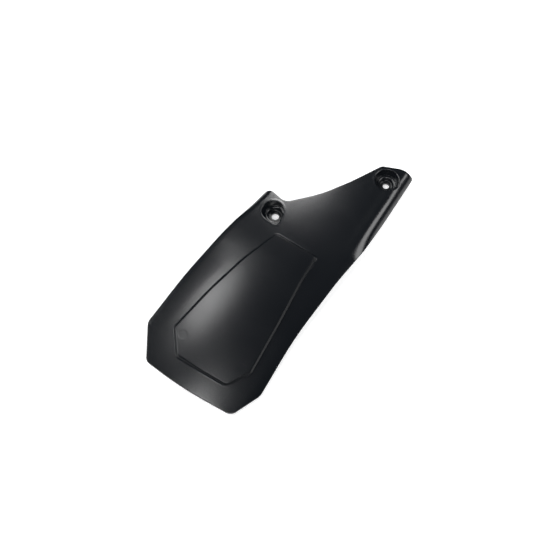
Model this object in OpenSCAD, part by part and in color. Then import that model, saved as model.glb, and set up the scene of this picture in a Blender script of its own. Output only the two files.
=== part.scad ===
// Mud flap that shields the rear shock of a motorbike from the wheel: one moulded plastic shell
// Origin: axis of the lower screw, on the face that the flap rests on; +Z is its front, +Y its upper end

/* [Sheet] */
// Wall thickness of the sheet
wall = 2.4; // [1.8:0.1:3]
// Length from the lower screw down to the bottom edge
drop_len = 185; // [160:1:210]
// Width across the lower corners
low_w = 122; // [110:1:134]
// Reach of the sheet to the left of the lower screw, at the lower corners
low_left = 37.5; // [32:0.5:42]
// Height of each cut-off lower corner
cut_h = 32; // [20:1:44]
// Radius of the sheet's crown across its width
crown_r = 480; // [350:10:900]
// Outward bow of the bottom edge
bottom_bow = 3; // [1:0.5:6]
// Rounding of the sheet's front edge
edge_r = 0.6; // [0.3:0.1:0.9]

/* [Arm] */
// Distance between the screws across the flap
screw_dx = 69.4; // [66:0.1:74]
// Distance between the screws along the flap
screw_dy = 83.4; // [76:0.1:92]
// Reach of the arm past the upper screw, up the flap
arm_over = 17; // [14:0.5:22]
// Reach of the arm to the right of the upper screw, at its top
arm_side = 17.6; // [15:0.2:20]
// Radius of the corner between the small lobe and the arm
notch_r = 9; // [5:0.5:14]

/* [Rolled edges] */
// Width of the roll along the arm's right side
roll_w = 9.6; // [7:0.1:11]
// Angle that the roll turns through at the arm's top
roll_turn = 76; // [50:1:88]
// Height of the soft ridge where the roll starts
ridge_h = 0.3; // [0:0.1:1]
// Width of the turned-down edge at the small lobe
lobe_roll_w = 6.4; // [4:0.1:8]
// Angle that the small lobe's edge turns through at its tip
lobe_turn = 68; // [30:1:85]

/* [Raised panel] */
// Length of the panel
panel_len = 147; // [120:1:152]
// Width of the panel at its top
panel_top_w = 45; // [36:1:50]
// Width of the panel at its widest, above its cut-off corners
panel_low_w = 83; // [70:1:88]
// Height of the panel over the sheet
panel_h = 2.6; // [1:0.1:3.2]
// Width of the sloping step round the panel
panel_step = 2.2; // [1.6:0.1:3]

/* [Screw cups] */
// Height of the lower cup's rim over the face that it rests on
cup_h = 15.2; // [13:0.1:18]
// Thickness of the cup floors
floor_t = 3; // [2:0.1:4]
// Depth of the inner recess in each cup
recess_h = 4.4; // [4:0.1:6]
// Opening diameter of the lower cup
cup1_d = 21; // [19.6:0.2:22.4]
// Reach of the lower cup's mouth from the screw to its run-out, towards the panel
run_out = 14.2; // [12:0.2:15]
// Inner recess diameter of the lower cup
recess1_d = 12.8; // [11:0.2:14]
// Screw hole diameter of the lower cup
hole1_d = 7; // [5:0.1:8]
// Opening diameter of the upper cup
cup2_d = 21.6; // [20:0.2:22]
// Inner recess diameter of the upper cup
recess2_d = 11.6; // [10:0.2:14]
// Screw hole diameter of the upper cup
hole2_d = 6; // [5:0.1:8]

/* [Hidden] */
$fn = 48;

// Places that follow from the driving sizes
low_right = low_w - low_left;
low_mid = low_w / 2 - low_left;
cut_l = 20.5;
cut_r = 11.5;
arm_x = screw_dx + arm_side;
arm_y = screw_dy + arm_over;
panel_top = -18.8;
panel_low = panel_top - panel_len;
panel_right = 58.7;
panel_left = panel_right - panel_top_w;
panel_cut_h = 23;
panel_cut_w = 18;
panel_edge = 68.5;

// Roll of the side edges: where it fades out and where it is full, and the slight turn of a plain edge
roll_from = -8;
roll_full = 44;
lobe_from = -26;
lobe_full = 10;
rest_turn = 6;

// Bend between the level arm and the falling lower part
bend_y = -22;
bend_half = 24;
rest_drop = 0.5;

// Collar, lip and inner shoulder of the cups; the lower cup's mouth leans and has a narrow run-out
collar_w = 2.3;
collar_h = 0.4;
lip_r = 1.2;
shoulder_r = 2.2;
mouth_lean = [-1, -1];
run_out_turn = -56;
run_out_r = 3.4;
lip_step = 22.5;
cup_sides = 48;

// Spacing of the shell's rings
rings_from = 11;
front_steps = [edge_r, 2.8, 5.4, 8.2, 11];
back_steps = [0, 3, 6.4, 11];
share_steps = [0.3, 0.65];
step_profile = [[0, 0], [0.3, 0.14], [0.72, 0.86], [1, 1]];
panel_steps = [0.4, 0.8];
back_shift = wall * 0.45;

// Outline corners seen from the front, anticlockwise from the lower left: x, y, radius
outline_corners = [
    [-low_left + cut_l, -drop_len + 3.2, 7],
    [low_mid - 2, -drop_len - bottom_bow + 2.2, 300],
    [low_right - cut_r, -drop_len + 2.5, 9],
    [low_right + 0.3, -drop_len + cut_h - 1, 14],
    [low_right - 3.2, -drop_len / 2, 400],
    [low_right + 0.6, -29, 260],
    [arm_x + 2.3, 8, 150],
    [arm_x + 1.9, 52, 400],
    [arm_x + 0.9, arm_y + 0.8, 2],
    [arm_x - 12, arm_y + 0.5, 20],
    [screw_dx - 11.5, screw_dy + 10, 6],
    [screw_dx * 0.612, screw_dy * 0.762, 150],
    [screw_dx * 0.376, screw_dy * 0.444, 110],
    [2.5, 11.9, notch_r],
    [-17.5, 15.4, 2.5],
    [-22.3, -6, 120],
    [-29.4, -45, 300],
    [-low_left + 2.2, -drop_len / 2, 500],
    [-low_left, -drop_len + cut_h + 2.5, 10]
];

// Foot of the raised panel, one corner for each outline corner; where its side runs straight through a
// corner, the radius is half the length that the corner's points cover
panel_corners = [
    [panel_edge - panel_low_w + panel_cut_w, panel_low, 6],
    [low_mid, panel_low - 0.3, 300],
    [panel_edge - 12.5, panel_low + 0.8, 7],
    [panel_edge, panel_low + panel_cut_h, 6],
    [panel_right + 5.5, panel_low + panel_len / 2 + 0.6, 300],
    [panel_right + 0.8, panel_top - 28, 60],
    [panel_right, panel_top, 4],
    [panel_right - panel_top_w * 0.16, panel_top, 1.2],
    [panel_right - panel_top_w * 0.25, panel_top, 1.2],
    [panel_right - panel_top_w * 0.34, panel_top, 1.2],
    [panel_right - panel_top_w * 0.43, panel_top, 1.2],
    [panel_right - panel_top_w * 0.57, panel_top, 1.2],
    [panel_right - panel_top_w * 0.7, panel_top, 1.2],
    [panel_right - panel_top_w * 0.83, panel_top, 1.2],
    [panel_left, panel_top, 4],
    [panel_left - 5, panel_top - 15, 60],
    [panel_left - 12.5, panel_top - 38, 120],
    [panel_left - 21.5, panel_top - 78, 300],
    [panel_edge - panel_low_w, panel_low + panel_cut_h - 1, 6]
];

// Steps round each corner and along the side after it, the same for outline and foot
corner_steps = [4, 3, 4, 4, 1, 1, 2, 1, 4, 2, 4, 1, 1, 4, 4, 1, 1, 1, 4];
side_steps = [3, 3, 3, 4, 3, 3, 3, 4, 4, 3, 4, 3, 4, 3, 3, 4, 3, 4, 4];

function unit(v) = v / norm(v);
function turned(v, a) = [v[0] * cos(a) - v[1] * sin(a), v[0] * sin(a) + v[1] * cos(a)];
function mix(a, b, f) = a + (b - a) * f;
function clamp(v) = min(1, max(0, v));

// Points round one corner as [place, outward direction]
function corner_arc(a, b, c, r, steps) =
    let (
        d1 = unit(b - a),
        d2 = unit(c - b),
        turn = atan2(d1[0] * d2[1] - d1[1] * d2[0], d1 * d2),
        reach = r * tan(abs(turn) / 2),
        out = turned(d1, -90),
        arm = out * r * sign(turn),
        middle = b - d1 * reach - arm
    )
    [for (k = [0:steps]) abs(turn) < 0.1
        ? [b + d1 * r * (2 * k / steps - 1), out]
        : [middle + turned(arm, turn * k / steps), turned(out, turn * k / steps)]];

// Points of a rounded outline, each as [place, outward direction]
function rounded(corners) =
    let (
        n = len(corners),
        place = [for (c = corners) [c[0], c[1]]],
        arcs = [for (i = [0:n - 1])
            corner_arc(place[(i + n - 1) % n], place[i], place[(i + 1) % n], corners[i][2], corner_steps[i])]
    )
    [for (i = [0:n - 1]) each concat(
        arcs[i],
        let (from = arcs[i][corner_steps[i]], to = arcs[(i + 1) % n][0])
        [for (k = [1:side_steps[i] - 1]) [mix(from[0], to[0], k / side_steps[i]), from[1]]]
    )];

outline = rounded(outline_corners);
foot = rounded(panel_corners);
ring_n = len(outline);
panel_middle = [(panel_left + panel_right) / 2 - 8, panel_top - panel_len / 2];
sheet_z = cup_h + crown(0, 0);

// Side edges of the sheet, as tables of x for a given y
right_edge = [for (p = outline)
    if (p[0][0] > low_mid && p[0][1] > -drop_len + cut_h && p[1][0] > 0.7) [p[0][1], p[0][0]]];
left_edge = [for (p = outline)
    if (p[1][0] < -0.9 && p[0][1] > -drop_len + cut_h && p[0][1] < 16) [-p[0][1], p[0][0]]];

// How far the roll has come in, from 0 where it fades out to 1 where it is full
function fade(y, from, full) = sin(90 * clamp((y - from) / (full - from)));
function right_turn(y) = mix(rest_turn, roll_turn, fade(y, roll_from, roll_full));
function left_turn(y) = mix(rest_turn, lobe_turn, fade(y, lobe_from, lobe_full));

// Front face before the edges are rolled: crown, fall towards the bottom and the soft ridge by the roll
function past_bend(y) =
    let (below = bend_y + bend_half - y)
    below <= 0 ? 0 : below < 2 * bend_half ? pow(below, 2) / (4 * bend_half) : below - bend_half;
function crown(x, y) = pow(x - low_mid, 2) / (2 * crown_r) * mix(1, 0.5, clamp((y + 70) / 70));
function ridge(x, y) =
    let (u = (x - lookup(y, right_edge) + roll_w) / roll_w)
    abs(u) < 1 ? ridge_h * (1 + cos(180 * u)) / 2 * fade(y, roll_from, roll_full) : 0;
function level(x, y) = sheet_z - crown(x, y) - fall * past_bend(y) + ridge(x, y);

// Point of the sheet at a depth under its front face, with the side edges rolled down
function skin(p, depth, lift = 0) =
    let (
        right_in = p[0] - lookup(p[1], right_edge) + roll_w,
        left_in = lookup(-p[1], left_edge) + lobe_roll_w - p[0],
        right = right_in > 0,
        turn = right ? right_turn(p[1]) : left_turn(p[1]),
        width = right ? roll_w : lobe_roll_w,
        past = right ? right_in : p[1] > -drop_len + cut_h ? max(0, left_in) : 0,
        a = turn * past / width,
        r = width / sin(turn),
        side = right ? 1 : -1,
        z = level(p[0], p[1]) + lift - r * (1 - cos(a)) - depth * cos(a)
    )
    [p[0] + side * (r * sin(a) - past - depth * sin(a)), p[1], z];

// Fall of the sheet below the bend that brings its lowest back edge to the resting plane
fall = min([for (p = outline) if (past_bend(p[0][1]) > 60)
    (sheet_z - wall - rest_drop - crown(p[0][0], p[0][1])) / past_bend(p[0][1])]);

cup2_h = level(screw_dx, screw_dy);

// Rings of points from the outline in to the panel, at a distance or at a share of the way
function towards(i, distance) = outline[i][0] + unit(foot[i][0] - outline[i][0]) * distance;
function part_way(i, share) = mix(towards(i, rings_from), foot[i][0], share);
function inset(i, distance) = foot[i][0] - foot[i][1] * distance;
function to_middle(i, share) = mix(inset(i, panel_step + back_shift), panel_middle, share);

function edge_ring(distance, depth) = [for (i = [0:ring_n - 1]) skin(towards(i, distance), depth)];
function share_ring(share, depth) = [for (i = [0:ring_n - 1]) skin(part_way(i, share), depth)];
function step_ring(distance, depth, lift) = [for (i = [0:ring_n - 1]) skin(inset(i, distance), depth, lift)];
function panel_ring(share, depth) = [for (i = [0:ring_n - 1]) skin(to_middle(i, share), depth, panel_h)];

// Rings of one face, from the edge to the middle, at one depth
function face_rings(steps, depth, shift) = concat(
    [for (d = steps) edge_ring(d, depth)],
    [for (s = share_steps) share_ring(s, depth)],
    [for (s = step_profile) step_ring(s[0] * panel_step + shift, depth, s[1] * panel_h)],
    [for (s = panel_steps) panel_ring(s, depth)]
);
front_edge = [edge_ring(0, edge_r), edge_ring(edge_r * 0.3, edge_r * 0.3)];
front_rings = concat(front_edge, face_rings(front_steps, 0, 0));
back_rings = face_rings(back_steps, wall, back_shift);

// Faces of a band between two rings of n points that start at the given numbers, seen from the first
function band(outer, inner, n) = [for (j = [0:n - 1]) let (k = (j + 1) % n) each [
    [outer + j, inner + j, outer + k],
    [outer + k, inner + j, inner + k]
]];
function cap(ring, middle, n) = [for (j = [0:n - 1]) [ring + j, middle, ring + (j + 1) % n]];
function flipped(faces) = [for (f = faces) [f[0], f[2], f[1]]];

// Closed shell: the front rings from the edge in, then the back rings, each face closed at its middle
module sheet() {
    back_at = len(front_rings) * ring_n;
    end_at = back_at + len(back_rings) * ring_n;
    polyhedron(
        points = concat(
            [for (ring = concat(front_rings, back_rings)) each ring],
            [skin(panel_middle, 0, panel_h), skin(panel_middle, wall, panel_h)]
        ),
        faces = concat(
            [for (at = [0:ring_n:back_at - 2 * ring_n]) each band(at, at + ring_n, ring_n)],
            [for (at = [back_at:ring_n:end_at - 2 * ring_n]) each flipped(band(at, at + ring_n, ring_n))],
            flipped(band(0, back_at, ring_n)),
            cap(back_at - ring_n, end_at, ring_n),
            flipped(cap(end_at - ring_n, end_at + 1, ring_n))
        )
    );
}

// Ring of a cup at a height: a circle, drawn out to a second, smaller circle where there is a run-out
function cup_ring(z, r, middle = [0, 0], end_r = 0, end = [0, 0]) = [for (k = [0:cup_sides - 1])
    let (
        d = [cos(360 * k / cup_sides), sin(360 * k / cup_sides)],
        p = middle * d + r >= end * d + end_r ? middle + r * d : end + end_r * d
    )
    [p[0], p[1], z]];
function mouth(z, grow, open_r, lean, reach) =
    let (end = (reach - run_out_r) * [cos(run_out_turn), sin(run_out_turn)])
    reach > 0
        ? cup_ring(z, open_r + grow, lean, run_out_r + grow, end)
        : cup_ring(z, open_r + grow);

// Solid through a stack of rings, the lowest first
module stack(rings) {
    n = cup_sides;
    last = (len(rings) - 1) * n;
    polyhedron(
        points = concat(
            [for (ring = rings) each ring],
            [[0, 0, rings[0][0][2]], [0, 0, rings[len(rings) - 1][0][2]]]
        ),
        faces = concat(
            [for (at = [0:n:last - n]) each band(at, at + n, n)],
            flipped(cap(0, last + n, n)),
            cap(last, last + n + 1, n)
        )
    );
}

// Radius of a cup's wall where it meets the ledge round the recess
function ledge_r(open_r, recess_r) = max(open_r - 1.5, recess_r + shoulder_r + 0.5);

// Outside of a cup: a boss round the recess, and a wider wall up to a low collar round the mouth
module cup_outside(open_r, recess_r, rim_z, lean, reach) {
    wide_r = ledge_r(open_r, recess_r) + wall;
    under_z = floor_t + recess_h - wall;
    rotate_extrude()
    polygon([
        [0, 0],
        [recess_r + wall - 0.9, 0],
        [recess_r + wall - 0.4, 0.5],
        [recess_r + wall, under_z + 1],
        [0, under_z + 1]
    ]);
    stack([
        cup_ring(under_z, wide_r - 0.6),
        cup_ring(under_z + 0.6, wide_r),
        mouth(rim_z - wall, collar_w, open_r, lean, reach),
        mouth(rim_z - 0.4, collar_w, open_r, lean, reach),
        mouth(rim_z + collar_h, collar_w - 0.8, open_r, lean, reach)
    ]);
}

// Inside of a cup: a recess with a rounded shoulder, and a wide mouth with a rounded lip
module cup_inside(open_r, recess_r, rim_z, lean, reach) {
    wide_r = ledge_r(open_r, recess_r);
    step_z = floor_t + recess_h;
    top_z = rim_z + collar_h;
    rotate_extrude()
    polygon(concat(
        [[0, floor_t], [recess_r - 0.9, floor_t], [recess_r - 0.3, floor_t + 0.6]],
        [for (a = [0:lip_step:90])
            [recess_r + shoulder_r * (1 - cos(a)), step_z - shoulder_r * (1 - sin(a))]],
        [[recess_r + shoulder_r, step_z + 0.2], [0, step_z + 0.2]]
    ));
    stack(concat(
        [cup_ring(step_z, wide_r - 0.3), cup_ring(step_z + 0.3, wide_r)],
        [for (a = [0:lip_step:90])
            mouth(top_z - lip_r * (1 - sin(a)), lip_r * (1 - cos(a)), open_r, lean, reach)],
        [mouth(top_z + 5, lip_r, open_r, lean, reach)]
    ));
}

module screw_hole(d) {
    translate([0, 0, -1])
    cylinder(d = d, h = floor_t + 2);
}

module lower_cup(outside) {
    if (outside)
        cup_outside(cup1_d / 2, recess1_d / 2, cup_h, mouth_lean, run_out);
    else
        cup_inside(cup1_d / 2, recess1_d / 2, cup_h, mouth_lean, run_out);
}
module upper_cup(outside) {
    translate([screw_dx, screw_dy, 0])
    if (outside)
        cup_outside(cup2_d / 2, recess2_d / 2, cup2_h, [0, 0], 0);
    else
        cup_inside(cup2_d / 2, recess2_d / 2, cup2_h, [0, 0], 0);
}

module mud_flap() {
    color("#1b1d1f")
    difference() {
        union() {
            sheet();
            lower_cup(outside = true);
            upper_cup(outside = true);
        }
        lower_cup(outside = false);
        upper_cup(outside = false);
        screw_hole(hole1_d);
        translate([screw_dx, screw_dy, 0])
        screw_hole(hole2_d);
    }
}

mud_flap();
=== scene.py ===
"""Shock mud flap lying on its back, front face up, on a white table."""
import math

import bpy
import numpy as np
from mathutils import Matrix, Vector
from mathutils.geometry import delaunay_2d_cdt


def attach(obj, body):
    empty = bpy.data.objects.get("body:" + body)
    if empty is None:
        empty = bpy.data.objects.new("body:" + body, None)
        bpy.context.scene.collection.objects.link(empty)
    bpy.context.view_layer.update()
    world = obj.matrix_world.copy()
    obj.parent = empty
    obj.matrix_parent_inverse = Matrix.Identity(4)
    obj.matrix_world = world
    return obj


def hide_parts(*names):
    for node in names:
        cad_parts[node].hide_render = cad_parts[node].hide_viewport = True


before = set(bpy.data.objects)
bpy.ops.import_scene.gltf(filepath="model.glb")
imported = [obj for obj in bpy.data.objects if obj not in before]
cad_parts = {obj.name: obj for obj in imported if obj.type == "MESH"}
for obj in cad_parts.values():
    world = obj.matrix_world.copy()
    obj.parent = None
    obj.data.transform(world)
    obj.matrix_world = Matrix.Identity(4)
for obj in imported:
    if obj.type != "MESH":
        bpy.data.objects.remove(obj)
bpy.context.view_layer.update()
MM = 0.001

# The view: the flap lies on a table and is seen from its lower right, looking well down on it.
# A long lens about a metre away keeps its long sides nearly parallel.
VIEW_TURN = math.radians(33)
VIEW_LIFT = math.radians(65)
VIEW_AWAY = 1.1
SENSOR_W = 36
LENS = 79.57
AIM = Vector((35.7, -53.0, 8.0)) * MM

towards_camera = Vector((
    math.sin(VIEW_TURN) * math.cos(VIEW_LIFT),
    -math.cos(VIEW_TURN) * math.cos(VIEW_LIFT),
    math.sin(VIEW_LIFT),
))
camera = bpy.data.objects.new("camera", bpy.data.cameras.new("camera"))
bpy.context.collection.objects.link(camera)
camera.data.sensor_width = SENSOR_W
camera.data.lens = LENS
camera.location = AIM + towards_camera * VIEW_AWAY
camera.rotation_mode = "QUATERNION"
camera.rotation_quaternion = (-towards_camera).to_track_quat("-Z", "Y")
bpy.context.scene.camera = camera

# The outline of the sheet: one moulded shell of black polypropylene, whose edge the mould itself gives.
# Its corners are given from the lower screw's axis, seen from the front, anticlockwise from the lower
# left, each with the radius of its rounding, in millimetres.
DROP_LEN = 185
LOW_W = 122
LOW_LEFT = 37.5
LOW_RIGHT = LOW_W - LOW_LEFT
LOW_MID = LOW_W / 2 - LOW_LEFT
CUT_H = 32
CUT_LEFT = 20.5
CUT_RIGHT = 11.5
BOTTOM_BOW = 3
SCREW = np.array([69.4, 83.4])
ARM_X = SCREW[0] + 17.6
ARM_Y = SCREW[1] + 17
LOBE_SIDE_TOP = 16
FACES_RIGHT = 0.7
FACES_LEFT = -0.9
OUTLINE_SPACING = 0.9
WIDEST_TURN = math.radians(9)
OUTLINE_CORNERS = [
    (-LOW_LEFT + CUT_LEFT, -DROP_LEN + 3.2, 7),
    (LOW_MID - 2, -DROP_LEN - BOTTOM_BOW + 2.22, 300),
    (LOW_RIGHT - CUT_RIGHT, -DROP_LEN + 2.5, 9),
    (LOW_RIGHT + 0.3, -DROP_LEN + CUT_H - 1, 14),
    (LOW_RIGHT - 3.2, -DROP_LEN / 2, 400),
    (LOW_RIGHT + 0.6, -29, 260),
    (ARM_X + 2.3, 8, 150),
    (ARM_X + 1.9, 52, 400),
    (ARM_X + 0.9, ARM_Y + 0.8, 2),
    (ARM_X - 12, ARM_Y + 0.5, 20),
    (SCREW[0] - 11.5, SCREW[1] + 10, 6),
    (SCREW[0] * 0.612, SCREW[1] * 0.762, 150),
    (SCREW[0] * 0.376, SCREW[1] * 0.444, 110),
    (2.5, 11.9, 10),
    (-19.1, 17.1, 7.5),
    (-22.3, -6, 120),
    (-29.4, -45, 300),
    (-LOW_LEFT + 2.2, -DROP_LEN / 2, 500),
    (-LOW_LEFT, -DROP_LEN + CUT_H + 2.5, 10),
]


def turned(v, angle):
    """A direction in plan, turned anticlockwise."""
    c = math.cos(angle)
    s = math.sin(angle)
    return np.array([v[0] * c - v[1] * s, v[0] * s + v[1] * c])


def unit(v):
    """A direction in plan, at length 1."""
    return v / np.hypot(*v)


def rounded(corners, spacing):
    """Points and outward directions of a rounded outline, about `spacing` apart."""
    places = [np.array(c[:2], float) for c in corners]
    arcs = []
    for i, here in enumerate(places):
        radius = corners[i][2]
        coming = unit(here - places[i - 1])
        going = unit(places[(i + 1) % len(places)] - here)
        turn = math.atan2(coming[0] * going[1] - coming[1] * going[0], coming @ going)
        out = turned(coming, -math.pi / 2)
        arm = out * radius * np.sign(turn)
        middle = here - coming * radius * math.tan(abs(turn) / 2) - arm
        steps = max(2, round(radius * abs(turn) / spacing), round(abs(turn) / WIDEST_TURN))
        arcs.append([(middle + turned(arm, turn * k / steps), turned(out, turn * k / steps))
                     for k in range(steps + 1)])
    points = []
    outwards = []
    for arc, following in zip(arcs, arcs[1:] + arcs[:1]):
        points += [p for p, _ in arc]
        outwards += [n for _, n in arc]
        start, out = arc[-1]
        end = following[0][0]
        steps = max(1, round(np.hypot(*(end - start)) / spacing))
        points += [start + (end - start) * k / steps for k in range(1, steps)]
        outwards += [out] * (steps - 1)
    return np.array(points), np.array(outwards)


outline, outline_out = rounded(OUTLINE_CORNERS, OUTLINE_SPACING)


def side_table(keep):
    """Side edge above the cut corners, as rising y and its x."""
    side = outline[keep & (outline[:, 1] > -DROP_LEN + CUT_H)]
    side = side[np.argsort(side[:, 1])]
    return side[:, 1], side[:, 0]


right_side = side_table((outline[:, 0] > LOW_MID) & (outline_out[:, 0] > FACES_RIGHT))
left_side = side_table((outline_out[:, 0] < FACES_LEFT) & (outline[:, 1] < LOBE_SIDE_TOP))

# The raised panel in the middle of the flap stiffens the sheet. It is embossed outwards by the mould
# at the sheet's own thickness, with a soft foot and a soft top edge to its sloping step.
WALL = 2.4
PANEL_LEN = 147
PANEL_TOP = -18.8
PANEL_LOW = PANEL_TOP - PANEL_LEN
PANEL_TOP_W = 45
PANEL_RIGHT = 58.7
PANEL_LEFT = PANEL_RIGHT - PANEL_TOP_W
PANEL_LOW_W = 83
PANEL_EDGE = 68.5
PANEL_CUT_H = 23
PANEL_CUT_W = 18
PANEL_H = 2.6
PANEL_STEP = 2.7
STEP_SOFT = 0.16
BACK_SHIFT = WALL * 0.45
FOOT_SPACING = 1.0
PANEL_CORNERS = [
    (PANEL_EDGE - PANEL_LOW_W + PANEL_CUT_W, PANEL_LOW, 6),
    (LOW_MID, PANEL_LOW - 0.3, 300),
    (PANEL_EDGE - 12.5, PANEL_LOW + 0.8, 7),
    (PANEL_EDGE, PANEL_LOW + PANEL_CUT_H, 6),
    (PANEL_RIGHT + 5.5, PANEL_LOW + PANEL_LEN / 2 + 0.6, 300),
    (PANEL_RIGHT + 0.8, PANEL_TOP - 28, 60),
    (PANEL_RIGHT, PANEL_TOP, 4),
    (PANEL_LEFT, PANEL_TOP, 4),
    (PANEL_LEFT - 5, PANEL_TOP - 15, 60),
    (PANEL_LEFT - 12.5, PANEL_TOP - 38, 120),
    (PANEL_LEFT - 21.5, PANEL_TOP - 78, 300),
    (PANEL_EDGE - PANEL_LOW_W, PANEL_LOW + PANEL_CUT_H - 1, 6),
]
foot, foot_out = rounded(PANEL_CORNERS, FOOT_SPACING)


def step_shape(u):
    """Rise of a step from 0 to 1, straight between a rounded foot and a rounded top."""
    u = np.clip(u, 0, 1)
    from_end = np.minimum(u, 1 - u)
    curved = from_end**2 / (2 * STEP_SOFT)
    rise = np.where(from_end < STEP_SOFT, curved, from_end - STEP_SOFT / 2) / (1 - STEP_SOFT)
    return np.where(u > 0.5, 1 - rise, rise)


# The screw cups stand the sheet off the machine's two bosses. Each is a stepped cup moulded into the
# sheet with a soft lip: a wide mouth for the socket, and an inner recess for the screw's head. The
# lower mouth leans a little and runs out in a narrow tip towards the panel. The sheet meets the cup
# at a seam a little outside the lip.
CUP_H = 15.2
FLOOR_T = 3
RECESS_DEPTH = 4.4
STEP_Z = FLOOR_T + RECESS_DEPTH
COLLAR_H = 0.08
COLLAR_W = 1.7
LIP_R = 1.2
SEAM = WALL + 0.6
WALL_LEAN = 1.5
LEDGE_W = 0.5
SHOULDER_R = 2.2
FLOOR_R = 0.9
HOLE_R = 0.3
HOLE_MID_Z = 1.6
BOSS_R = 0.5
UNDER_R = 0.6
RUN_OUT = 14.2
RUN_OUT_R = 3.4
RUN_OUT_TURN = math.radians(-56)
RUN_OUT_AT = (RUN_OUT - RUN_OUT_R) * np.array([math.cos(RUN_OUT_TURN), math.sin(RUN_OUT_TURN)])
CUPS = {
    # "mouth" has the circles that the mouth is drawn round, the others are radii
    "lower": {
        "at": np.zeros(2),
        "mouth": [((-1.6, -1.5), 9.9), (RUN_OUT_AT, RUN_OUT_R)],
        "recess": 6.4,
        "hole": 3.5,
    },
    "upper": {
        "at": SCREW,
        "mouth": [((0, 0), 10.8)],
        "recess": 5.8,
        "hole": 3.0,
    },
}


def directions(count):
    """Directions in plan all round, evenly spaced."""
    angles = np.linspace(0, 2 * math.pi, count, endpoint=False)
    return np.stack([np.cos(angles), np.sin(angles)], 1)


RAYS = 144
TANGENTS = 720
LEAST_SLANT = 0.1
circle = directions(RAYS)
tangents = directions(TANGENTS)


def mouth(cup, grow):
    """A cup's mouth, grown by a distance: on each ray of the circle, the nearest tangent round it."""
    reach = np.max([tangents @ np.array(middle) + r + grow for middle, r in cup["mouth"]], axis=0)
    slant = circle @ tangents.T
    along_ray = np.where(slant > LEAST_SLANT, reach / np.maximum(slant, LEAST_SLANT), np.inf)
    radius = np.min(along_ray, axis=1)
    return cup["at"] + circle * radius[:, None]


def inside(points, loop):
    """Which points lie inside a closed loop."""
    hits = np.zeros(len(points), bool)
    x = points[:, 0]
    y = points[:, 1]
    for (x1, y1), (x2, y2) in zip(loop, np.roll(loop, -1, axis=0)):
        if y1 != y2:
            hits ^= ((y1 > y) != (y2 > y)) & (x < (x2 - x1) * (y - y1) / (y2 - y1) + x1)
    return hits


def distance_in(points, loop):
    """Distance from a closed loop, positive inside it."""
    nearest = np.full(len(points), np.inf)
    for a, b in zip(loop, np.roll(loop, -1, axis=0)):
        along = b - a
        t = np.clip((points - a) @ along / (along @ along), 0, 1)
        nearest = np.minimum(nearest, np.hypot(*(points - a - t[:, None] * along).T))
    return np.where(inside(points, loop), nearest, -nearest)


def past_lip(cup, x, y):
    """Distance of points outside the lip of a cup."""
    points = np.stack([np.ravel(x), np.ravel(y)], 1)
    return -distance_in(points, mouth(cup, LIP_R)).reshape(np.shape(x))


# The sheet's curves: crowned across its width, level at the arm and falling from a soft bend to the
# lower edge. The arm's right side is rolled down to stiffen it, with a soft ridge where the roll
# starts, and so is the small lobe's left side. Every other side only droops a little.
CROWN_R = 480
ARM_CROWN = 0.5
CROWN_EASE = 70
BEND_Y = -22
BEND_HALF = 24
LOW_END = 60
REST_DROP = 0.5
ROLL_W = 9.6
ROLL_TURN = math.radians(76)
ROLL_FADE = (-3, 50)
RIDGE_H = 0.3
LOBE_ROLL_W = 6.4
LOBE_TURN = math.radians(68)
LOBE_FADE = (-26, 10)
REST_TURN = math.radians(6)


def fade(y, limits):
    """0 below the first limit, easing into 1 at the second."""
    return np.sin(np.clip((y - limits[0]) / (limits[1] - limits[0]), 0, 1) * math.pi / 2)


def soft_start(past, half):
    """A slope of 1 from past = half on, with a rounded start from 0 to twice that."""
    slope = np.where(past < 2 * half, past**2 / (4 * half), past - half)
    return np.where(past > 0, slope, 0)


def past_bend(y):
    """How far a place lies below the bend."""
    return soft_start(BEND_Y + BEND_HALF - y, BEND_HALF)


def crown(x, y):
    """Drop from the crown's top line, less at the arm."""
    at_arm = np.clip((y + CROWN_EASE) / CROWN_EASE, 0, 1)
    return (x - LOW_MID)**2 / (2 * CROWN_R) * (1 - (1 - ARM_CROWN) * at_arm)


# The fall is as steep as it can be with the lower end still clear of the table.
SHEET_Z = CUP_H + crown(0, 0)
low_end = outline[past_bend(outline[:, 1]) > LOW_END]
FALL = np.min((SHEET_Z - WALL - REST_DROP - crown(*low_end.T)) / past_bend(low_end[:, 1]))

# The mould's ejector pins leave three faint round marks on the front: middle and radius of each.
EJECTOR_MARKS = [((59.1, 66.0), 3.0), ((-2.6, -145.5), 4.0), ((58.3, -142.8), 3.4)]
EJECTOR_DEPTH = 0.03
EJECTOR_STEP = 0.5

# A faint crease runs down the left margin beside the panel, where the outer margin turns down a
# little. It fades out near the top and the lower end of the panel.
CREASE_AWAY = 8.5
CREASE_HALF = 1.2
CREASE_SLOPE = math.tan(math.radians(1.0))
CREASE_TOP = (-48, -80)
CREASE_END = (-152, -128)
FOOT_FACES_LEFT = -0.8
foot_left = foot[(foot_out[:, 0] < FOOT_FACES_LEFT) & (foot[:, 0] < PANEL_LEFT)]
foot_left = foot_left[np.argsort(foot_left[:, 1])]


def crease_drop(x, y):
    """Drop of the margin outside the crease."""
    crease_x = np.interp(y, foot_left[:, 1], foot_left[:, 0]) - CREASE_AWAY
    share = CREASE_SLOPE * fade(-y, (-CREASE_TOP[0], -CREASE_TOP[1])) * fade(y, CREASE_END)
    return soft_start(crease_x + CREASE_HALF - x, CREASE_HALF) * share


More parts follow.
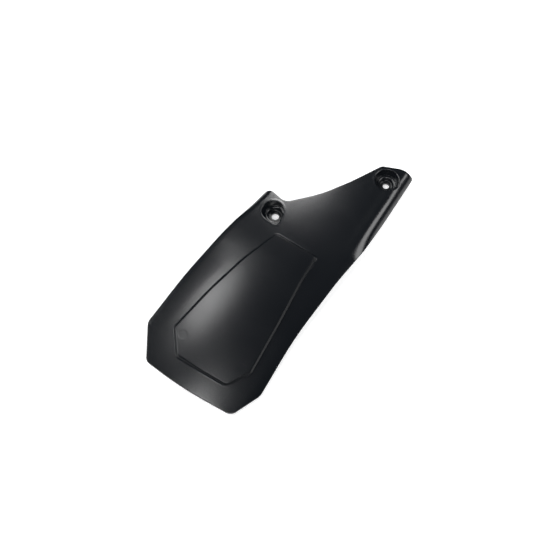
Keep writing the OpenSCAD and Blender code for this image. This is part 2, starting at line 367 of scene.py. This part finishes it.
def level(x, y):
    """Height of the front face before the side edges are rolled."""
    u = (x - np.interp(y, *right_side) + ROLL_W) / ROLL_W
    ridge = np.where(abs(u) < 1, RIDGE_H * (1 + np.cos(math.pi * u)) / 2 * fade(y, ROLL_FADE), 0)
    z = SHEET_Z - crown(x, y) - FALL * past_bend(y) + ridge - crease_drop(x, y)
    for cup in CUPS.values():
        near = np.hypot(x - cup["at"][0], y - cup["at"][1]) < RUN_OUT + LIP_R + COLLAR_W
        z[near] += COLLAR_H * step_shape(1 - past_lip(cup, x[near], y[near]) / COLLAR_W)
    for middle, radius in EJECTOR_MARKS:
        within = radius - np.hypot(x - middle[0], y - middle[1])
        z = z - EJECTOR_DEPTH * step_shape(within / EJECTOR_STEP + 0.5)
    return z


def skin(points, depth, lift=0.0):
    """Points of the sheet in space at a depth under its front face, with the side edges rolled."""
    x, y = points.T
    right_in = x - np.interp(y, *right_side) + ROLL_W
    left_in = np.where(y > -DROP_LEN + CUT_H, np.interp(y, *left_side) + LOBE_ROLL_W - x, 0)
    right = right_in > 0
    past = np.maximum(0, np.where(right, right_in, left_in))
    roll = REST_TURN + (ROLL_TURN - REST_TURN) * fade(y, ROLL_FADE)
    lobe_roll = REST_TURN + (LOBE_TURN - REST_TURN) * fade(y, LOBE_FADE)
    turn = np.where(right, roll, lobe_roll)
    width = np.where(right, ROLL_W, LOBE_ROLL_W)
    radius = width / np.sin(turn)
    angle = turn * past / width
    out = radius * np.sin(angle) - past - depth * np.sin(angle)
    z = level(x, y) + lift - radius * (1 - np.cos(angle)) - depth * np.cos(angle)
    return np.stack([x + np.where(right, 1, -1) * out, y, z], 1)


# The shell's mesh: plan points laid along the edges, the panel's step, the cups and the marks, and
# spread evenly between them. They are joined into triangles and lifted to both faces of the moulding.
# The front edge of the sheet is rounded more than the back one. All sizes are in millimetres.
EDGE_R = 0.6
BACK_EDGE_R = 0.3
EDGE_LINES = (0.06, 0.2, 0.38, EDGE_R)
MARK_LINES = (-0.8, -0.3, -0.1, 0.1, 0.3, 0.8)
MARK_GAP = 0.1
STEP_LINES = np.linspace(0, PANEL_STEP + BACK_SHIFT, 13)
STEP_GAP = 0.18
CUP_LINES = (0.3, 0.7, 1.3, 2.2)
CUP_GAP = 0.4
FOOT_LINES = ((0.5, 0.3), (1.4, 0.6), (-4.2, 0.6))
ROLL_LINES = (1.1, 1.8, 2.6, 3.5, 4.5, 5.5, 6.5, 7.5, 8.6)
ROLL_GAP = 0.6
GRID_FROM = (-42, -190)
GRID_TO = (96, 104)
GRID_X = 2.0
GRID_Y = 1.75
GRID_GAP = 1.2
EDGE_CLEAR = 0.03
SEAM_CLEAR = 0.001
WELD = 1e-6

grid_x, grid_y = np.meshgrid(np.arange(GRID_FROM[0], GRID_TO[0], GRID_X),
                             np.arange(GRID_FROM[1], GRID_TO[1], GRID_Y))
grid_x[1::2] += GRID_X / 2

# Each layer is its points and how near they may come to those of earlier layers; 0 keeps them all.
layers = [(outline, 0)]
layers += [(mouth(cup, SEAM), 0) for cup in CUPS.values()]
layers += [(outline - outline_out * inset, 0) for inset in EDGE_LINES]
layers += [(middle + circle[::3] * (radius + r), MARK_GAP)
           for middle, radius in EJECTOR_MARKS for r in MARK_LINES]
layers += [(foot - foot_out * inset, STEP_GAP) for inset in STEP_LINES]
layers += [(mouth(cup, SEAM + r), CUP_GAP) for cup in CUPS.values() for r in CUP_LINES]
layers += [(foot + foot_out * away, gap) for away, gap in FOOT_LINES]
layers += [(outline - outline_out * inset, ROLL_GAP) for inset in ROLL_LINES]
layers += [(np.stack([grid_x.ravel(), grid_y.ravel()], 1), GRID_GAP)]


def joined(layers):
    """Points of all the layers that keep their distance from earlier layers."""
    kept = []
    cells = {}
    for number, (points, gap) in enumerate(layers):
        for x, y in points:
            i = math.floor(x / GRID_GAP)
            j = math.floor(y / GRID_GAP)
            around = [(a, b) for a in (i - 1, i, i + 1) for b in (j - 1, j, j + 1)]
            near = [q for cell in around for q in cells.get(cell, ())]
            if gap and any(n < number and (u - x)**2 + (v - y)**2 < gap * gap for u, v, n in near):
                continue
            cells.setdefault((i, j), []).append((x, y, number))
            kept.append((x, y))
    return np.array(kept)


def loop_edges(first, count):
    """Edges of a closed loop of points that follow each other from the first."""
    return [(first + k, first + (k + 1) % count) for k in range(count)]


plan = joined(layers)
in_cup = np.zeros(len(plan), bool)
for cup in CUPS.values():
    in_cup |= distance_in(plan, mouth(cup, SEAM)) > -SEAM_CLEAR
on_loops = np.arange(len(plan)) < len(outline) + len(CUPS) * len(circle)
plan = plan[on_loops | (distance_in(plan, outline) > EDGE_CLEAR) & ~in_cup]
cup_first = {name: len(outline) + k * len(circle) for k, name in enumerate(CUPS)}
loops = loop_edges(0, len(outline))
for first in cup_first.values():
    loops += loop_edges(first, len(circle))
flat, _, triangles, _, _, _ = delaunay_2d_cdt([Vector(p) for p in plan], loops, [], 0, WELD, False)
flat = np.array([tuple(p) for p in flat])
triangles = np.array([t[:3] for t in triangles])
middles = flat[triangles].mean(axis=1)
wanted = inside(middles, outline)
for cup in CUPS.values():
    wanted &= ~inside(middles, mouth(cup, SEAM))
triangles = triangles[wanted]


def edge_depth(distance, radius):
    """How far a rounded edge has dropped at a distance in from the outline."""
    left = np.clip(radius - distance, 0, radius)
    return radius - np.sqrt(radius**2 - left**2)


edge_in = np.abs(distance_in(flat, outline))
foot_in = distance_in(flat, foot)
lift = PANEL_H * step_shape(foot_in / PANEL_STEP)
back_lift = PANEL_H * step_shape((foot_in - BACK_SHIFT) / PANEL_STEP)
front = skin(flat, edge_depth(edge_in, EDGE_R), lift)
back = skin(flat, WALL - edge_depth(edge_in, BACK_EDGE_R), back_lift)


def cup_rings(cup):
    """Rings of a cup from its seam with the front, down through the hole, to its seam with the back."""
    at = cup["at"]
    recess = cup["recess"]
    hole = cup["hole"]
    wide = max(cup["mouth"][0][1] - WALL_LEAN, recess + SHOULDER_R + LEDGE_W)
    under = STEP_Z - WALL

    def on_sheet(grow, depth):
        return skin(mouth(cup, grow), depth)

    def ring(r, z):
        return np.column_stack([at + circle * r, np.full(len(circle), z)])

    def arc(r, z, radius, start, stop, steps=3):
        angles = np.radians(np.linspace(start, stop, steps + 1))
        return [ring(r + radius * math.cos(a), z + radius * math.sin(a)) for a in angles]

    def wall(a, b, steps):
        return [a + (b - a) * k / steps for k in range(1, steps)]

    rings = [on_sheet(grow, 0) for grow in np.linspace(SEAM, LIP_R, 7)[1:]]
    lip = [math.radians(a) for a in range(15, 91, 15)]
    rings += [on_sheet(LIP_R * (1 - math.sin(a)), LIP_R * (1 - math.cos(a))) for a in lip]
    ledge = arc(wide - LEDGE_W, STEP_Z + LEDGE_W, LEDGE_W, 0, -90, 4)
    rings += wall(rings[-1], ledge[0], 5) + ledge
    shoulder = arc(recess + SHOULDER_R, STEP_Z - SHOULDER_R, SHOULDER_R, 90, 180, 9)
    rings += shoulder
    floor = arc(recess - FLOOR_R, FLOOR_T + FLOOR_R, FLOOR_R, 0, -90, 4)
    rings += wall(shoulder[-1], floor[0], 2) + floor
    rings += [ring(recess - FLOOR_R - HOLE_R, FLOOR_T), ring(hole + 2 * HOLE_R, FLOOR_T)]
    rings += arc(hole + HOLE_R, FLOOR_T - HOLE_R, HOLE_R, 90, 180) + [ring(hole, HOLE_MID_Z)]
    rings += arc(hole + HOLE_R, HOLE_R, HOLE_R, 180, 270)
    rings += [ring(hole + 2 * HOLE_R, 0), ring(recess + WALL - FLOOR_R - HOLE_R, 0)]
    boss = arc(recess + WALL - FLOOR_R, BOSS_R, BOSS_R, -90, 0)
    inner = arc(recess + WALL + HOLE_R, under - HOLE_R, HOLE_R, 180, 90)
    outer = arc(wide + WALL - UNDER_R, under + UNDER_R, UNDER_R, -90, 0)
    rings += boss + wall(boss[-1], inner[0], 3) + inner + outer
    top = on_sheet(WALL, WALL + 0.2)
    return rings + wall(outer[-1], top, 4) + [top]


vertices = [front, back]
faces = [tuple(t) for t in triangles]
faces += [tuple(t + len(flat)) for t in triangles[:, ::-1]]
faces += [(b, a, a + len(flat), b + len(flat)) for a, b in loop_edges(0, len(outline))]
count = 2 * len(flat)
for name, cup in CUPS.items():
    rings = cup_rings(cup)
    firsts = [cup_first[name]] + [count + k * len(circle) for k in range(len(rings))]
    firsts += [cup_first[name] + len(flat)]
    for upper, lower in zip(firsts, firsts[1:]):
        faces += [(a + upper, b + upper, b + lower, a + lower) for a, b in loop_edges(0, len(circle))]
    vertices += rings
    count += len(rings) * len(circle)

shell_mesh = bpy.data.meshes.new("moulded_flap")
shell_mesh.from_pydata((np.concatenate(vertices) * MM).tolist(), [], [tuple(map(int, f)) for f in faces])
shell_mesh.shade_smooth()
shell = bpy.data.objects.new("moulded_flap", shell_mesh)
bpy.context.collection.objects.link(shell)
shell.modifiers.new("even_shading", "WEIGHTED_NORMAL")
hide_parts("mud_flap")
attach(shell, "root")


# Black polypropylene, moulded in a lightly spark-eroded mould. It gives a deep black with a soft
# satin sheen, broken up by a grain of about a quarter of a millimetre and by faint flow marks, which
# spread the sheen a little more in some places than in others.
def linear(hex_colour):
    """Linear colour of an sRGB hex value."""
    parts = [int(hex_colour[i:i + 2], 16) / 255 for i in (1, 3, 5)]
    return [c / 12.92 if c <= 0.04045 else ((c + 0.055) / 1.055)**2.4 for c in parts] + [1.0]


def add(material, kind, links=None, **settings):
    """Adds a node with its settings and links, and returns it."""
    node = material.node_tree.nodes.new(kind)
    for name, value in settings.items():
        setattr(node, name, value)
    for name, value in (links or {}).items():
        if isinstance(value, bpy.types.NodeSocket):
            material.node_tree.links.new(value, node.inputs[name])
        else:
            node.inputs[name].default_value = value
    return node


GRAIN = 0.25 * MM
GRAIN_DEPTH = 0.02 * MM
FLOW_MARK = 45 * MM
polypropylene = bpy.data.materials.new("moulded_black_polypropylene")
polypropylene.use_nodes = True
polypropylene.node_tree.nodes.clear()
place = add(polypropylene, "ShaderNodeTexCoord").outputs["Object"]
grain = add(polypropylene, "ShaderNodeTexNoise", {
    "Vector": place,
    "Scale": 1 / GRAIN,
    "Detail": 2,
    "Roughness": 0.6,
})
flow = add(polypropylene, "ShaderNodeTexNoise", {
    "Vector": place,
    "Scale": 1 / FLOW_MARK,
    "Detail": 3,
    "Roughness": 0.55,
    "Distortion": 0.8,
})
sheen_spread = add(polypropylene, "ShaderNodeMapRange", {
    "Value": flow.outputs["Fac"],
    "From Min": 0.3,
    "From Max": 0.7,
    "To Min": 0.22,
    "To Max": 0.25,
})
grain_bump = add(polypropylene, "ShaderNodeBump", {
    "Height": grain.outputs["Fac"],
    "Strength": 0.25,
    "Distance": GRAIN_DEPTH,
})
plastic = add(polypropylene, "ShaderNodeBsdfPrincipled", {
    "Base Color": linear("#0d1014"),
    "Roughness": sheen_spread.outputs["Result"],
    "IOR": 1.49,
    "Normal": grain_bump.outputs["Normal"],
})
add(polypropylene, "ShaderNodeOutputMaterial", {"Surface": plastic.outputs["BSDF"]})
shell_mesh.materials.append(polypropylene)

# The table: a sheet of white background paper. It keeps a soft shadow under the flap, and glows for
# rays that see the background, half near the flap and fully far from it, so that it shows as plain
# white far off. The weaker glow near the flap is painted shade, which darkens the paper round the flap.
# Sizes are in metres.
TABLE_HALF = 3.0
GLOW_NEAR_PAINTED_SHADE = 0.5
GLOW_FAR = 1.0
NEAR_FLAP = 0.25
FAR_FROM_FLAP = 1.0
table_corners = [(x * TABLE_HALF, y * TABLE_HALF, 0) for x, y in ((-1, -1), (1, -1), (1, 1), (-1, 1))]
table_mesh = bpy.data.meshes.new("table")
table_mesh.from_pydata(table_corners, [], [(0, 1, 2, 3)])
table = bpy.data.objects.new("table", table_mesh)
bpy.context.collection.objects.link(table)

paper = bpy.data.materials.new("white_background_paper")
paper.use_nodes = True
paper.node_tree.nodes.clear()
matt = add(paper, "ShaderNodeBsdfDiffuse", {"Color": linear("#ebebeb")})
ray = add(paper, "ShaderNodeLightPath").outputs
direct = add(paper, "ShaderNodeMath",
             {0: ray["Is Camera Ray"], 1: ray["Is Glossy Ray"]}, operation="MAXIMUM")
sees_background = add(paper, "ShaderNodeMath",
                      {0: direct.outputs[0], 1: ray["Is Transmission Ray"]}, operation="MAXIMUM")
table_place = add(paper, "ShaderNodeTexCoord").outputs["Object"]
from_flap = add(paper, "ShaderNodeVectorMath", {0: table_place}, operation="LENGTH")
# Painted shade: the glow is only half as strong near the flap, which darkens the paper round it.
paper_glow_and_painted_shade = add(paper, "ShaderNodeMapRange", {
    "Value": from_flap.outputs["Value"],
    "From Min": NEAR_FLAP,
    "From Max": FAR_FROM_FLAP,
    "To Min": GLOW_NEAR_PAINTED_SHADE,
    "To Max": GLOW_FAR,
})
seen_glow_and_painted_shade = add(paper, "ShaderNodeMath",
                {0: sees_background.outputs[0], 1: paper_glow_and_painted_shade.outputs[0]}, operation="MULTIPLY")
glowing = add(paper, "ShaderNodeEmission",
              {"Color": linear("#ffffff"), "Strength": seen_glow_and_painted_shade.outputs[0]})
matt_and_glowing = add(paper, "ShaderNodeAddShader", {0: matt.outputs[0], 1: glowing.outputs[0]})
add(paper, "ShaderNodeOutputMaterial", {"Surface": matt_and_glowing.outputs[0]})
table_mesh.materials.append(paper)

# The soft boxes. Three small ones close over the flap give the sheens on the panel, the arm and the
# lower end, and one at the right gives the bright line along the roll. A low broad one in front lights
# the rims of the panel's step and the cups' shoulders, and one at the left the left margin.
SOFT_BOXES = {
    # name: turn from the camera's side, height, distance, width, length, brightness (white paper is 1)
    "panel_box": (128.5, 63, 0.35, 0.08, 0.06, 12.0),
    "arm_box": (-176, 43, 0.35, 0.08, 0.07, 19.0),
    "lower_end_box": (52, 69, 0.35, 0.07, 0.06, 14.0),
    "roll_box": (-106, 38, 0.37, 0.14, 0.16, 6.0),
    "front_box": (0, 44, 1.2, 0.9, 0.25, 9.0),
    "left_box": (108, 38, 1.6, 0.8, 0.6, 8.5),
}
for name, (turn, height, away, width, length, brightness) in SOFT_BOXES.items():
    lamp = bpy.data.lights.new(name, "AREA")
    lamp.shape = "RECTANGLE"
    lamp.size = width
    lamp.size_y = length
    lamp.energy = brightness * math.pi * width * length
    box = bpy.data.objects.new(name, lamp)
    bpy.context.collection.objects.link(box)
    box.visible_camera = False
    side = VIEW_TURN - math.radians(turn)
    up = math.radians(height)
    direction = Vector((math.sin(side) * math.cos(up), -math.cos(side) * math.cos(up), math.sin(up)))
    box.location = AIM + direction * away
    box.rotation_mode = "QUATERNION"
    box.rotation_quaternion = direction.to_track_quat("Z", "Y")

# The room: a dim studio whose white backdrop stands a little above the table's horizon. Gloss on the
# flap shows the backdrop and the dim room over it, and the camera sees white all round.
BACKDROP_TOP = 0.08
BACKDROP_FULL = 0.02
room = bpy.data.worlds.new("room")
room.use_nodes = True
room.node_tree.nodes.clear()
bpy.context.scene.world = room
towards = add(room, "ShaderNodeTexCoord").outputs["Generated"]
backdrop = add(room, "ShaderNodeMapRange", {
    "Value": add(room, "ShaderNodeSeparateXYZ", {"Vector": towards}).outputs["Z"],
    "From Min": BACKDROP_TOP,
    "From Max": BACKDROP_FULL,
    "To Min": 0.0,
    "To Max": 1.0,
})
camera_ray = add(room, "ShaderNodeLightPath").outputs["Is Camera Ray"]
white = add(room, "ShaderNodeMath", {0: camera_ray, 1: backdrop.outputs[0]}, operation="MAXIMUM")
shade = add(room, "ShaderNodeMixRGB", {
    "Fac": white.outputs[0],
    "Color1": linear("#242628"),
    "Color2": linear("#ffffff"),
})
walls = add(room, "ShaderNodeBackground", {"Color": shade.outputs[0], "Strength": 1.0})
add(room, "ShaderNodeOutputWorld", {"Surface": walls.outputs[0]})
bpy.context.scene.view_settings.view_transform = "Standard"
